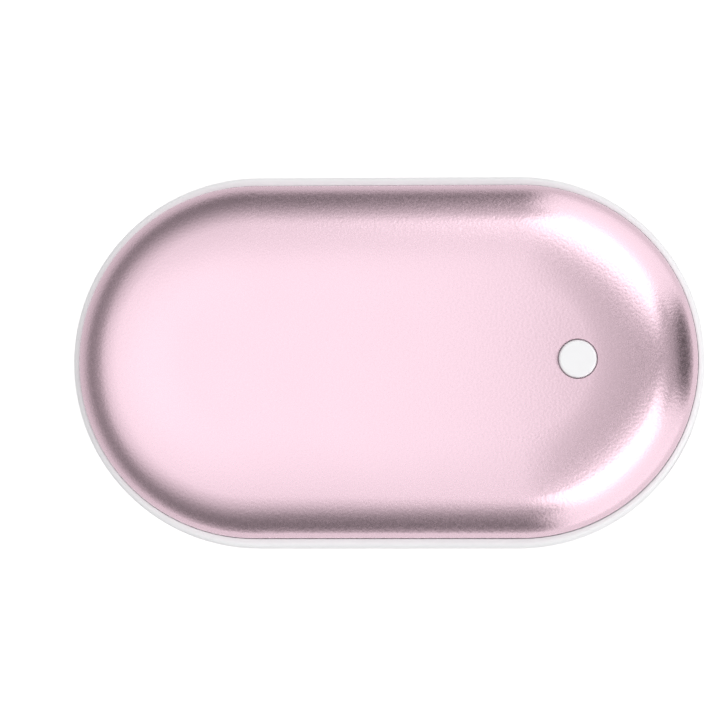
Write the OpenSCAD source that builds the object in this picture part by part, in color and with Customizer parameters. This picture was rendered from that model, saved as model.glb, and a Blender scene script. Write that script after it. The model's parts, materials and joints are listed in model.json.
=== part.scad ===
// Rechargeable hand warmer: two aluminium dishes on a plastic ring, with cells, heaters and a board inside.
// Millimetres, +Z up, origin at the centre of the underside, +X towards the button and the sockets.

/* [Body] */
// Length of the plastic ring, tip to tip
body_len = 102; // [101:0.5:110]
// Width of the plastic ring
body_wid = 60; // [59:0.5:66]
// Thickness over both shells
body_thk = 24; // [23.6:0.1:27]
// Height of the plastic band between the shells
band_h = 9; // [8.8:0.1:10]
// How far the band stands proud of the shells at its two tips
proud_tip = 1.25; // [1:0.05:1.5]
// How far the band stands proud of the shells along its two sides
proud_side = 1.65; // [1.4:0.05:1.9]
// Rounding of the band's upper and lower edges
band_round = 0.7; // [0.4:0.05:0.9]
// How far the band's side bulges at mid height
band_bulge = 0.25; // [0.1:0.05:0.6]

/* [Shells] */
// Wall of each aluminium shell
shell_wall = 1; // [0.7:0.05:1.1]
// Depth of the groove that holds each shell's rim
groove_depth = 0.9; // [0.7:0.05:1.1]
// Thickness of the adhesive rim gasket
gasket_t = 0.2; // [0.1:0.05:0.3]
// Radius of the shell's tight outer bend
bend_r = 3; // [2.6:0.1:3.4]
// Radius of the shell's shoulder
shoulder_r = 13; // [12:0.25:14]
// Radius of the shell's shallow crown
crown_r = 40; // [36:1:42]
// Play on each side of the shell's rim in its groove
rim_play = 0.12; // [0.05:0.01:0.15]

/* [Button] */
// Distance from the band's tip to the middle of the button
button_from_tip = 20.5; // [20:0.25:21.5]
// Diameter of the button cap
button_d = 6; // [5:0.1:7]
// Gap round the button cap
button_gap = 0.2; // [0.1:0.05:0.4]
// How far the cap stands above the shell
button_proud = 0.3; // [0.1:0.05:0.6]
// Travel of the button
button_travel = 0.4; // [0.2:0.05:0.5]
// Height of the push switch above the board, plunger included
switch_h = 5; // [4.5:0.1:5.2]
// Width of the push switch
switch_w = 5.2; // [4.6:0.1:6]
// Diameter of the switch's plunger
plunger_d = 2.4; // [2:0.1:2.8]

/* [Cells] */
// Diameter of each round cell
cell_d = 18.4; // [18:0.1:18.6]
// Length of each round cell
cell_len = 65; // [63:0.25:65.5]
// Gap between the two cells
cell_gap = 0.3; // [0.1:0.05:0.4]
// Play round each cell in its cradle
cell_play = 0.25; // [0.2:0.01:0.28]
// Wall of the cell cradle
cradle_wall = 1.2; // [0.9:0.1:1.4]
// How far the cradle's saddles reach below the cells' middle
cradle_depth = 6; // [5.5:0.25:6.5]

/* [Electronics] */
// Thickness of the circuit board
board_t = 1.2; // [0.8:0.1:1.6]
// Outer width of the outlet socket
outlet_w = 13.2; // [12.8:0.1:13.6]
// Outer height of the outlet socket
outlet_h = 5.72; // [5.6:0.02:5.9]
// Length of the outlet socket
outlet_len = 13.6; // [12:0.1:15]
// Outer width of the charging socket
inlet_w = 8.94; // [8.8:0.02:9.1]
// Outer height of the charging socket
inlet_h = 3.26; // [3.16:0.02:3.4]
// Length of the charging socket
inlet_len = 7.35; // [6.5:0.05:8]
// Gap between the outlet socket and the pieces beside it
socket_gap = 0.9; // [0.6:0.1:1.2]
// Sheet thickness of the sockets' metal
socket_sheet = 0.3; // [0.2:0.05:0.35]
// Number of status lights
light_count = 4; // [3:1:4]
// Distance between status lights
light_pitch = 2.4; // [2.2:0.1:2.6]
// Diameter of a status light's window
light_d = 1.3; // [1:0.1:1.5]

/* [Heating] */
// Thickness of a heater film
film_t = 0.2; // [0.15:0.05:0.3]
// Distance from the shell's edge to the heater film
film_inset = 9; // [8.5:0.5:12]
// Diameter of a heater lead
lead_d = 1; // [0.8:0.1:1.2]
// Diameter of a battery lead
battery_lead_d = 1.4; // [1.2:0.1:1.6]
// Diameter of a temperature sensor's bead
sensor_d = 1.1; // [0.8:0.1:1.2]

/* [Fasteners] */
// Diameter of the small screws
screw_d = 2; // [1.8:0.1:2.2]
// Diameter of a screw's head
screw_head_d = 3.6; // [3.2:0.1:3.8]
// Length of a screw under its head
screw_len = 5; // [4:0.5:5.5]

/* [Hidden] */
$fn = 64;

// Colours
pink = [0.94, 0.80, 0.84];
white = [0.95, 0.95, 0.95];
steel = [0.75, 0.76, 0.78];
gold = [0.85, 0.68, 0.32];
black = [0.12, 0.12, 0.13];
board_green = [0.10, 0.36, 0.22];
film_amber = [0.80, 0.48, 0.14];
cell_blue = [0.18, 0.42, 0.62];

// Small clearances and overlaps
seat = 0.05;
blend = 0.5;
part_gap = 0.3;
hole_extra = 1;

// Plan of the ring and of the shells: two half circles joined by straight sides
mid_z = body_thk / 2;
ear_t = 1.6;
ring_r = body_wid / 2;
ring_cx = (body_len - body_wid) / 2;
shell_r = ring_r - proud_side;
shell_cx = body_len / 2 - proud_tip - shell_r;
band_top = mid_z + band_h / 2;
ledge_z = band_top - groove_depth;
rim_z = ledge_z + gasket_t;
groove_out_r = shell_r + rim_play;
groove_in_r = shell_r - shell_wall - rim_play;
tongue_t = 0.75;
inner_r = groove_in_r - tongue_t;

// Shell profile: three arcs that meet without a corner, at these tilts from flat
bend_tilt = 45;
shoulder_tilt = 15;
bend_c = [shell_r - bend_r, 0];
shoulder_c = bend_c + (bend_r - shoulder_r) * [sin(bend_tilt), cos(bend_tilt)];
crown_c = shoulder_c + (shoulder_r - crown_r) * [sin(shoulder_tilt), cos(shoulder_tilt)];
dome_rise = crown_c[1] + crown_r;
dome_z = body_thk - dome_rise;
flat_r = crown_c[0];

// Levels and places of the inner parts
button_x = body_len / 2 - button_from_tip;
board_z = mid_z + outlet_h / 2;
board_top = board_z + board_t;
board_x = button_x - switch_w / 2 - part_gap;
board_play = 0.4;
board_r = inner_r - board_play;
board_overhang = 1;
bay_x1 = board_x - board_overhang;
strip_t = 0.2;
strip_play = 0.2;
washer_t = 0.2;
cell_x1 = bay_x1 - strip_play - strip_t;
cell_x0 = cell_x1 - cell_len;
bay_x0 = cell_x0 - strip_play - strip_t;
cell_y = (cell_d + cell_gap) / 2;
bay_r = cell_d / 2 + cell_play;
cradle_x0 = bay_x0 - cradle_wall;
cradle_top = mid_z + ear_t;
front_wall_t = 1.8;
cradle_y = cell_y + bay_r + cradle_wall;
cradle_mid = (bay_x0 + bay_x1) / 2;
boss_r = 2.4;
ear_r = 2;
post_r = 2.2;
boss_y = inner_r - boss_r + 2 * seat;
ear_reach = 17;
ear_places = [for (dx = [-ear_reach, ear_reach], side = [-1, 1]) [cradle_mid + dx, side * boss_y]];
board_boss_angle = 60;
board_boss_c = board_r - boss_r;
board_boss_places = [for (side = [-1, 1])
    [shell_cx + board_boss_c * cos(board_boss_angle), side * board_boss_c * sin(board_boss_angle)]];
post_x = board_x + post_r + 0.8;
post_y = 10.5;
post_places = [for (side = [-1, 1]) [post_x, side * post_y]];
port_play = 0.15;
outlet_set_back = 0.35;
inlet_set_back = 0.25;
light_set_back = 0.1;
outlet_x = ring_cx + sqrt(ring_r * ring_r - outlet_w * outlet_w / 4) - outlet_set_back;
inlet_reach = sqrt(ring_r * ring_r - inlet_w * inlet_w / 4) - inlet_set_back;
light_ys = [for (i = [0 : light_count - 1]) (i - (light_count - 1) / 2) * light_pitch];
light_edge = (light_count - 1) * light_pitch / 2 + light_d / 2;
light_reach = sqrt(ring_r * ring_r - light_edge * light_edge) - light_set_back;
pipe_face = inner_r - 0.2;
pipe_back = pipe_face - 1.2;
pipe_wall = 0.35;
light_chip = [0.8, 1.2, 0.9];
screw_play = 0.15;
head_t = 1.1;
chips_x = button_x + switch_w / 2 + 6.4;

// The angle round the tip at which a piece with this rear reach and half width clears the outlet socket
function clear_angle(reach, half) =
    asin((outlet_w / 2 + socket_gap) / norm([reach, half])) + atan(half / reach);
inlet_angle = clear_angle(inlet_reach - inlet_len, inlet_w / 2);
light_angle = clear_angle(pipe_back - light_chip[0] - 2 * seat, light_edge + pipe_wall);

// Heater film, pad and switch stack
film_r = shell_r - film_inset;
film_gap = 0.05;
film_depth = shell_wall + film_gap;
pad_depth = film_depth + film_t + film_gap;
pad_z = mid_z + cell_d / 2 + seat;
film_z = body_thk - film_depth - film_t;
cap_top = body_thk + button_proud;
flange_top = body_thk - shell_wall - seat;
flange_t = 0.8;
flange_r = button_d / 2 + 1.2;
plunger_top = board_top + switch_h;
cap_bottom = plunger_top + 0.02;
switch_body_h = switch_h - 1.6;
plunger_play = 0.1;
chamber_r = 1.9;
dome_seat_z = board_top + 1;
plunger_bottom = dome_seat_z + button_travel + 0.1;
sensor_leg_d = 0.4;
front_tongue_y = 7;
lead_z = mid_z + sqrt(pow((cell_d + battery_lead_d) / 2 + part_gap + seat, 2) - cell_y * cell_y);
film_x1 = button_x - flange_r - 1.5;
sensor_len = 2;
sensor_x = film_x1 - sensor_len - 0.6;
pad_margin = 4;
pad_x0 = cell_x0 + pad_margin;
pad_x1 = sensor_x - part_gap;
pad_y = cell_y + 6;
heater_lead_y = pad_y + lead_d / 2 + 2 * seat;
film_land = 3.5;
// Height of the film's inner face above the middle plane, over the outer side of a heater lead
film_face_r = crown_r - film_depth - film_t;
film_face_y = max(heater_lead_y + lead_d / 2 - flat_r, 0);
film_face_h = dome_z - mid_z + crown_c[1] + sqrt(pow(film_face_r, 2) - pow(film_face_y, 2));

// Profile of a shell's outside, moved inwards by inset, from the rim up to the flat crown
function arc_points(c, r, from, to, steps) =
    [for (i = [0 : steps]) let (a = from + (to - from) * i / steps)
        [c[0] + r * sin(a), dome_z + c[1] + r * cos(a)]];
function dome_points(inset) = concat(
    arc_points(bend_c, bend_r - inset, 90, bend_tilt, 7),
    arc_points(shoulder_c, shoulder_r - inset, bend_tilt - 5, shoulder_tilt, 5),
    arc_points(crown_c, crown_r - inset, shoulder_tilt - 3, 0, 4));

function reversed(list) = [for (i = [len(list) - 1 : -1 : 0]) list[i]];

// A profile in radius and height, carried round both ends and along both sides of a long round plan
module carried(points, cx) {
    for (turn = [0, 180])
        rotate([0, 0, turn]) {
            translate([cx, 0, 0]) rotate([0, 0, -90]) rotate_extrude(angle = 180, $fn = 96) polygon(points);
            rotate([90, 0, 90]) translate([0, 0, -cx]) linear_extrude(height = 2 * cx) polygon(points);
        }
}

module mirrored_below() {
    translate([0, 0, 2 * mid_z]) mirror([0, 0, 1]) children();
}

module long_round(r, cx, z0, z1) {
    carried([[0, z0], [r, z0], [r, z1], [0, z1]], cx);
}

module ring(r0, r1, cx, z0, z1) {
    carried([[r0, z0], [r1, z0], [r1, z1], [r0, z1]], cx);
}

module block(x0, x1, y0, y1, z0, z1) {
    translate([x0, y0, z0]) cube([x1 - x0, y1 - y0, z1 - z0]);
}

module post(place, r, z0, z1) {
    translate([place[0], place[1], z0]) cylinder(r = r, h = z1 - z0);
}

// The hole in a boss that a screw's shank stands in, a little deeper than the screw reaches
module pilot(place, head_z, boss_z) {
    post(place, screw_d / 2 + seat, head_z - screw_len - 0.5, boss_z + hole_extra);
}

// The space that lies deeper than inset under the upper shell's outer skin, down to a chosen height
module dome_space(inset, z0) {
    carried(concat([[0, z0], [shell_r - inset, z0]], dome_points(inset), [[0, body_thk - inset]]), shell_cx);
}

module shell() {
    difference() {
        carried(concat([[shell_r - shell_wall, rim_z], [shell_r, rim_z]], dome_points(0),
            [[0, body_thk], [0, body_thk - shell_wall]], reversed(dome_points(shell_wall))), shell_cx);
        children();
    }
}

module top_shell() {
    color(pink) shell() {
        post([button_x, 0], button_d / 2 + button_gap, body_thk - 2 * shell_wall, body_thk + 1);
    }
}

module bottom_shell() {
    color(pink) mirrored_below() shell();
}

// Turns and moves its children to a place on the tip's round wall, pointing outwards
module at_tip(angle) {
    translate([ring_cx, 0, 0]) rotate([0, 0, angle]) children();
}

module band_blank() {
    // The side bows out as a flat arc between its two rounded edges
    half = band_h / 2 - band_round;
    bow_r = (half * half + band_bulge * band_bulge) / (2 * band_bulge);
    bow_end = asin(half / bow_r);
    edge_r = ring_r - band_bulge - band_round;
    upper = [for (a = [10 : 10 : 90]) [edge_r + band_round * cos(a), half + band_round * sin(a)]];
    bow = [for (i = [-5 : 5]) [ring_r - bow_r + bow_r * cos(bow_end * i / 5), bow_r * sin(bow_end * i / 5)]];
    lower = [for (p = reversed(upper)) [p[0], -p[1]]];
    outline = concat([[0, -band_h / 2]], lower, bow, upper, [[0, band_h / 2]]);
    translate([0, 0, mid_z]) carried(outline, ring_cx);
}

boss_z0 = mid_z - band_h / 2 + 1;
web_half = 1.2;

// Bosses on the ring's inner wall: four for the cradle's ears and two for the board
module frame_bosses() {
    for (p = ear_places) {
        post(p, boss_r, boss_z0, mid_z);
        wall_y = sign(p[1]) * (inner_r + blend);
        block(p[0] - web_half, p[0] + web_half, min(p[1], wall_y), max(p[1], wall_y), boss_z0, mid_z);
    }
    for (side = [-1, 1])
        translate([shell_cx, 0, 0]) rotate([0, 0, side * board_boss_angle]) {
            post([board_boss_c, 0], boss_r, boss_z0, board_z);
            block(board_boss_c, inner_r + blend, -web_half, web_half, boss_z0, board_z);
        }
}

module mid_frame() {
    color(white) difference() {
        union() {
            difference() {
                band_blank();
                long_round(inner_r, shell_cx, 0, body_thk);
                ring(groove_in_r, groove_out_r, shell_cx, ledge_z, body_thk);
                mirrored_below() ring(groove_in_r, groove_out_r, shell_cx, ledge_z, body_thk);
            }
            intersection() {
                long_round(inner_r + blend, shell_cx, boss_z0, board_z);
                frame_bosses();
            }
        }
        for (p = ear_places) pilot(p, cradle_top, mid_z);
        for (p = board_boss_places) pilot(p, board_top, board_z);
        block(shell_cx + inner_r - 2, body_len, -outlet_w / 2 - port_play, outlet_w / 2 + port_play,
            mid_z - outlet_h / 2 - port_play, mid_z + outlet_h / 2 + port_play);
        at_tip(-inlet_angle) inlet_slot(inner_r - 2, ring_r + 2, port_play);
        at_tip(light_angle) for (y = light_ys) translate([inner_r - 2, y, mid_z]) rotate([0, 90, 0])
            cylinder(d = light_d + 2 * seat, h = ring_r - inner_r + 4, $fn = 32);
    }
}

module rim_gasket() {
    ring(shell_r - shell_wall + seat, shell_r - seat, shell_cx, ledge_z, rim_z);
}

module upper_rim_gasket() {
    color(black) rim_gasket();
}

module lower_rim_gasket() {
    color(black) mirrored_below() rim_gasket();
}

module button_cap() {
    r = button_d / 2;
    edge = 0.35;
    stem_r = plunger_d / 2 + 0.6;
    color(white) translate([button_x, 0, 0]) rotate_extrude() polygon(concat(
        [[0, cap_bottom], [stem_r, cap_bottom], [stem_r, flange_top - flange_t],
            [flange_r, flange_top - flange_t], [flange_r, flange_top], [r, flange_top]],
        [for (a = [0 : 15 : 90]) [r - edge + edge * cos(a), cap_top - edge + edge * sin(a)]],
        [[0, cap_top]]));
}

switch_cover_t = 0.3;
switch_cover_z = board_top + switch_body_h - switch_cover_t;
switch_peg_r = 0.4;
switch_peg_c = switch_w / 2 - 0.9;
switch_peg_places = [for (sx = [-1, 1], sy = [-1, 1]) [button_x + sx * switch_peg_c, sy * switch_peg_c]];

module switch_body() {
    half = switch_w / 2;
    color(black) difference() {
        union() {
            block(button_x - half, button_x + half, -half, half, board_top, switch_cover_z);
            for (p = switch_peg_places) post(p, switch_peg_r, board_top, switch_cover_z + switch_cover_t + 0.2);
        }
        post([button_x, 0], plunger_d / 2 + plunger_play, dome_seat_z, plunger_top);
        post([button_x, 0], chamber_r, dome_seat_z, plunger_bottom + part_gap);
    }
}

module switch_cover() {
    half = switch_w / 2;
    z0 = switch_cover_z - hole_extra;
    z1 = switch_cover_z + hole_extra;
    color(steel) difference() {
        block(button_x - half, button_x + half, -half, half, switch_cover_z, switch_cover_z + switch_cover_t);
        post([button_x, 0], plunger_d / 2 + plunger_play, z0, z1);
        for (p = switch_peg_places) post(p, switch_peg_r + seat, z0, z1);
    }
}

// A thin sprung dome under the plunger
module switch_dome() {
    sheet = 0.08;
    reach = chamber_r - 0.1;
    rise = plunger_bottom - dome_seat_z - 0.01;
    color(steel) translate([button_x, 0, dome_seat_z]) rotate_extrude() polygon(concat(
        [for (i = [0 : 6]) [reach * i / 6, rise * (1 - pow(i / 6, 2)) + sheet * pow(i / 6, 2)]],
        [for (i = [6 : -1 : 0]) [reach * i / 6, (rise - sheet) * (1 - pow(i / 6, 2))]]));
}

module switch_plunger() {
    color(black) post([button_x, 0], plunger_d / 2, plunger_bottom, plunger_top);
}

module circuit_board() {
    color(board_green) difference() {
        intersection() {
            long_round(board_r, shell_cx, board_z, board_top);
            block(board_x, body_len, -body_wid, body_wid, board_z - 1, board_top + 1);
        }
        for (p = concat(board_boss_places, post_places))
            post(p, screw_d / 2 + screw_play, board_z - hole_extra, board_top + hole_extra);
    }
}

// A pan-head screw whose head rests at the given height
module screw(place, z) {
    translate([place[0], place[1], z]) difference() {
        union() {
            cylinder(d = screw_head_d, h = head_t, $fn = 32);
            translate([0, 0, -screw_len]) cylinder(d = screw_d, h = screw_len + blend, $fn = 32);
        }
        for (turn = [0, 90]) rotate([0, 0, turn]) translate([-1, -0.2, head_t - 0.6]) cube([2, 0.4, 1]);
    }
}

module board_screws() {
    color(steel) for (p = concat(board_boss_places, post_places)) screw(p, board_top);
}

module cradle_screws() {
    color(steel) for (p = ear_places) screw(p, cradle_top);
}

// Sizes of the parts on the board, as width, length and height
controller_size = [4, 5, 1.4];
transistor_size = [1.6, 3, 1];
capacitor_size = [1.2, 1, 0.8];
capacitor_pitch = 1.8;
leg_size = [0.8, 0.4, 0.35];
leg_lift = 0.1;
inductor_w = 5.6;
inductor_h = 3;
flange_h = 0.6;
controller_y = 7.5;
inductor_y = 7;
transistor_y = 13.5;
capacitor_y = 5.2;

// A chip's body with a row of legs on each long side
module chip(place, size, legs) {
    pitch = size[1] / legs;
    leg_x = (size[0] + leg_size[0]) / 2 - leg_lift;
    translate([place[0], place[1], board_top]) {
        translate([-size[0] / 2, -size[1] / 2, leg_lift]) cube(size);
        for (i = [0 : legs - 1], side = [-1, 1])
            translate([side * leg_x, (i + 0.5) * pitch - size[1] / 2, leg_size[2] / 2]) cube(leg_size, center = true);
    }
}

module controller_chip() {
    color(black) chip([chips_x, -controller_y], controller_size, 4);
}

module heater_transistors() {
    x = chips_x - controller_size[0] / 2 - leg_size[0];
    color(black) for (side = [-1, 1]) chip([x, side * transistor_y], transistor_size, 3);
}

module power_inductor() {
    half = inductor_w / 2;
    color(black) {
        translate([chips_x - half, inductor_y - half, board_top]) cube([inductor_w, inductor_w, flange_h]);
        post([chips_x, inductor_y], half - flange_h, board_top, board_top + inductor_h);
        post([chips_x, inductor_y], half, board_top + inductor_h - flange_h, board_top + inductor_h);
    }
}

module chip_capacitors() {
    x = chips_x - inductor_w / 2 - part_gap - capacitor_pitch - capacitor_size[0];
    color([0.72, 0.58, 0.42]) for (i = [0, 1], side = [-1, 1])
        translate([x + capacitor_pitch * i, side * capacitor_y - capacitor_size[1] / 2, board_top])
            cube(capacitor_size);
}

module status_lights() {
    color([0.96, 0.95, 0.82]) at_tip(light_angle) for (y = light_ys)
        translate([pipe_back - 2 * seat, y, board_z] - [light_chip[0], light_chip[1] / 2, light_chip[2]])
            cube(light_chip);
}

module light_pipe() {
    half = light_edge + pipe_wall;
    color([0.9, 0.95, 1]) at_tip(light_angle) {
        block(pipe_back, pipe_face, -half, half, mid_z - light_d / 2 - pipe_wall, board_z - seat);
        for (y = light_ys) translate([pipe_back, y, mid_z]) rotate([0, 90, 0])
            cylinder(d = light_d, h = light_reach - pipe_back, $fn = 32);
    }
}

// The outlet socket: its inside, its tongue under the roof and four flat contacts under the tongue
outlet_x0 = outlet_x - outlet_len + socket_sheet;
outlet_in_y = outlet_w / 2 - socket_sheet;
outlet_in_z = outlet_h / 2 - socket_sheet;
outlet_base_l = 3;
outlet_tongue_gap = 0.5;
outlet_tongue_t = 1.84;
outlet_tongue_w = 11.2;
outlet_tongue_top = mid_z + outlet_in_z - outlet_tongue_gap;
outlet_tongue_z = outlet_tongue_top - outlet_tongue_t;
outlet_tongue_x1 = outlet_x - 0.9;
outlet_contact_w = 1;
outlet_contact_t = 0.3;
outlet_contact_x1 = outlet_tongue_x1 - 0.9;
outlet_contact_sink = 0.2;
outlet_contact_inner = 1;
outlet_contact_outer = 3.5;
outlet_contact_ys = [-outlet_contact_outer, -outlet_contact_inner, outlet_contact_inner, outlet_contact_outer];

module outlet_socket_shell() {
    half = outlet_w / 2;
    color(steel) difference() {
        block(outlet_x - outlet_len, outlet_x, -half, half, mid_z - outlet_h / 2, mid_z + outlet_h / 2);
        block(outlet_x0, outlet_x + hole_extra, -outlet_in_y, outlet_in_y,
            mid_z - outlet_in_z, mid_z + outlet_in_z);
    }
}

module outlet_socket_tongue() {
    half = outlet_tongue_w / 2;
    slot = outlet_contact_w / 2 + seat;
    color(white) difference() {
        union() {
            block(outlet_x0, outlet_x0 + outlet_base_l, -outlet_in_y, outlet_in_y,
                mid_z - outlet_in_z, mid_z + outlet_in_z);
            block(outlet_x0, outlet_tongue_x1, -half, half, outlet_tongue_z, outlet_tongue_top);
        }
        for (y = outlet_contact_ys)
            block(outlet_x0 + outlet_base_l, outlet_contact_x1 + outlet_contact_sink, y - slot, y + slot,
                outlet_tongue_z - hole_extra, outlet_tongue_z + outlet_contact_sink);
    }
}

module outlet_socket_contacts() {
    half = outlet_contact_w / 2;
    z1 = outlet_tongue_z + outlet_contact_sink;
    color(gold) for (y = outlet_contact_ys)
        block(outlet_x0 + outlet_base_l, outlet_contact_x1, y - half, y + half, z1 - outlet_contact_t, z1);
}

// A flat slot with round ends, pointing outwards, as wide and high as the charging socket plus play
module inlet_slot(x0, x1, play) {
    r = inlet_h / 2 + play;
    half = inlet_w / 2 - inlet_h / 2;
    z = board_z - inlet_h / 2;
    block(x0, x1, -half, half, z - r, z + r);
    for (side = [-1, 1])
        translate([x0, side * half, z]) rotate([0, 90, 0]) cylinder(r = r, h = x1 - x0, $fn = 48);
}

module charging_socket_shell() {
    x0 = inlet_reach - inlet_len;
    color(steel) at_tip(-inlet_angle) difference() {
        inlet_slot(x0, inlet_reach, 0);
        inlet_slot(x0 + socket_sheet, inlet_reach + 1, -socket_sheet);
    }
}

// The charging socket: its tongue in the middle with a row of contacts on both faces
inlet_x0 = inlet_reach - inlet_len + socket_sheet;
inlet_z = board_z - inlet_h / 2;
inlet_base_l = 1.2;
inlet_tongue_t = 0.7;
inlet_tongue_w = 6.7;
inlet_tongue_x1 = inlet_reach - 0.6;
inlet_contact_w = 0.3;
inlet_contact_t = 0.1;
inlet_contact_pitch = 0.6;

module charging_socket_tongue() {
    half_w = inlet_tongue_w / 2;
    half_t = inlet_tongue_t / 2;
    color(black) at_tip(-inlet_angle) {
        inlet_slot(inlet_x0, inlet_x0 + inlet_base_l, -socket_sheet);
        block(inlet_x0, inlet_tongue_x1, -half_w, half_w, inlet_z - half_t, inlet_z + half_t);
    }
}

module charging_socket_contacts() {
    x0 = inlet_x0 + inlet_base_l;
    l = inlet_tongue_x1 - 0.6 - x0;
    lift = (inlet_tongue_t + inlet_contact_t) / 2;
    color(gold) at_tip(-inlet_angle) for (i = [-4 : 4], side = [-1, 1])
        translate([x0 + l / 2, i * inlet_contact_pitch, inlet_z + side * lift])
            cube([l, inlet_contact_w, inlet_contact_t], center = true);
}

module cradle_ear(place) {
    side = sign(place[1]);
    root_y = side * (cradle_y - cradle_wall / 2);
    post(place, ear_r, mid_z, cradle_top);
    block(place[0] - ear_r, place[0] + ear_r, min(root_y, place[1]), max(root_y, place[1]), mid_z, cradle_top);
}

// A tray for both cells, open above and below, with ears for its screws and a wall that carries the board
module cell_cradle() {
    z0 = mid_z - cradle_depth;
    post_z0 = z0 + 2;
    color(white) difference() {
        union() {
            intersection() {
                union() {
                    block(cradle_x0, bay_x1 + blend, -cradle_y, cradle_y, z0, cradle_top);
                    block(cradle_x0, bay_x0, -cell_y, cell_y, z0, mid_z + cradle_depth);
                }
                long_round(inner_r - part_gap, shell_cx, 0, body_thk);
            }
            block(bay_x1, bay_x1 + front_wall_t, -cradle_y, cradle_y, z0, board_z);
            for (p = ear_places) cradle_ear(p);
            for (p = concat(post_places, [[button_x, 0]])) {
                post(p, post_r, post_z0, board_z);
                block(bay_x1 + front_wall_t / 2, p[0], p[1] - web_half, p[1] + web_half, post_z0, board_z);
            }
        }
        for (side = [-1, 1]) translate([bay_x0, side * cell_y, mid_z]) rotate([0, 90, 0])
            cylinder(r = bay_r, h = bay_x1 - bay_x0);
        block(bay_x0, bay_x1, -cell_y, cell_y, z0 - hole_extra, body_thk);
        for (p = ear_places) post(p, screw_d / 2 + screw_play, 0, body_thk);
        for (p = post_places) pilot(p, board_top, board_z);
    }
}

nub_h = 0.3;
nub_r = 3;
cell_edge = 0.4;
crimp = 0.5;

// A round cell: a can with a crimped groove near its raised positive end, which faces +X
module cell(y) {
    r = cell_d / 2;
    can = cell_len - nub_h;
    crimp_z = can - 8 * crimp;
    translate([cell_x0, y, mid_z]) rotate([0, 90, 0]) rotate_extrude() polygon([
        [0, 0], [r - cell_edge, 0], [r, cell_edge], [r, crimp_z], [r - crimp, crimp_z + crimp],
        [r - crimp, crimp_z + 2 * crimp], [r, crimp_z + 3 * crimp], [r, can - cell_edge], [r - cell_edge, can],
        [nub_r, can], [nub_r, cell_len], [0, cell_len]]);
}

module left_cell() {
    color(cell_blue) cell(cell_y);
}

module right_cell() {
    color(cell_blue) cell(-cell_y);
}

module cell_end_washers() {
    color(white) for (side = [-1, 1]) translate([cell_x1 - nub_h, side * cell_y, mid_z]) rotate([0, 90, 0])
        difference() {
            cylinder(r = cell_d / 2 - 2 * part_gap, h = washer_t);
            translate([0, 0, -hole_extra]) cylinder(r = nub_r + 0.4, h = washer_t + 2 * hole_extra);
        }
}

strip_w = 5;
strip_tongue_w = 3;
strip_y = cell_y + 4;

// A flat strip that joins both cells, with a tongue at tongue_y for the lead
module joining_strip(x, tongue_y) {
    color(steel) {
        block(x, x + strip_t, -strip_y, strip_y, mid_z - strip_w / 2, mid_z + strip_w / 2);
        block(x, x + strip_t, tongue_y - strip_tongue_w / 2, tongue_y + strip_tongue_w / 2, mid_z, lead_z + 1);
    }
}

module front_joining_strip() {
    joining_strip(cell_x1, front_tongue_y);
}

module rear_joining_strip() {
    joining_strip(cell_x0 - strip_t, 0);
}

// Leads: a round tube swept along a smooth path through hand-set points
function eased(p, i, t) =
    let (n = len(p) - 1, a = p[max(i - 1, 0)], b = p[i], c = p[i + 1], d = p[min(i + 2, n)])
    0.5 * (2 * b + (c - a) * t + (2 * a - 5 * b + 4 * c - d) * t * t + (3 * b - a - 3 * c + d) * t * t * t);
function smooth(p, steps) = concat(
    [for (i = [0 : len(p) - 2], k = [0 : steps - 1]) eased(p, i, k / steps)], [p[len(p) - 1]]);
function unit(v) = v / norm(v);

module lead(points, d) {
    sides = 8;
    path = smooth(points, 4);
    n = len(path);
    rings = [for (i = [0 : n - 1])
        let (t = unit(path[min(i + 1, n - 1)] - path[max(i - 1, 0)]))
        let (u = unit(cross(t, [0.05, 1, 0.1])), v = cross(u, t))
        for (k = [0 : sides - 1]) path[i] + d / 2 * (u * cos(360 * k / sides) + v * sin(360 * k / sides))];
    walls = [for (i = [0 : n - 2], k = [0 : sides - 1], half = [0, 1])
        let (a = i * sides + k, b = i * sides + (k + 1) % sides)
        half == 0 ? [a, b, a + sides] : [b, b + sides, a + sides]];
    first = [for (k = [1 : sides - 2]) [0, k + 1, k]];
    last = [for (k = [1 : sides - 2]) let (o = (n - 1) * sides) [o, o + k, o + k + 1]];
    polyhedron(rings, concat(walls, first, last));
}

// The plus lead leaves the front strip, and the minus lead runs in the valley between the cells
module battery_leads() {
    on_board = board_top + battery_lead_d / 2 + seat;
    color([0.75, 0.1, 0.1]) lead([
        [cell_x1 + strip_t + 0.02, front_tongue_y, on_board + 0.4],
        [board_x + 1, front_tongue_y - 0.3, on_board + 0.7],
        [board_x + 3, front_tongue_y - 0.9, on_board + 0.4],
        [board_x + 5.2, front_tongue_y - 1.2, on_board]], battery_lead_d);
    color(black) lead([
        [cell_x0 + 0.02, 0, lead_z],
        [cell_x0 + 20, 0, lead_z],
        [cell_x1 - 20, 0, lead_z],
        [cell_x1 - 8, 0, lead_z + 0.6],
        [cell_x1 - 2.7, -0.8, lead_z + 2.8],
        [cell_x1 + 0.5, -4, lead_z + 3.8],
        [board_x + 1.6, -6.2, on_board + 2],
        [board_x + 3.8, -6.5, on_board + 0.4],
        [board_x + 5.4, -6.2, on_board]], battery_lead_d);
}

// A heater film that follows the shell's inner face and stops short of the button
module heater_film() {
    intersection() {
        difference() {
            dome_space(film_depth, dome_z - 1);
            dome_space(film_depth + film_t, dome_z - 2);
        }
        long_round(film_r, shell_cx, dome_z, body_thk);
        block(-body_len, film_x1, -body_wid, body_wid, 0, body_thk);
    }
}

module upper_heater_film() {
    color(film_amber) heater_film();
}

module lower_heater_film() {
    color(film_amber) mirrored_below() heater_film();
}

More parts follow.
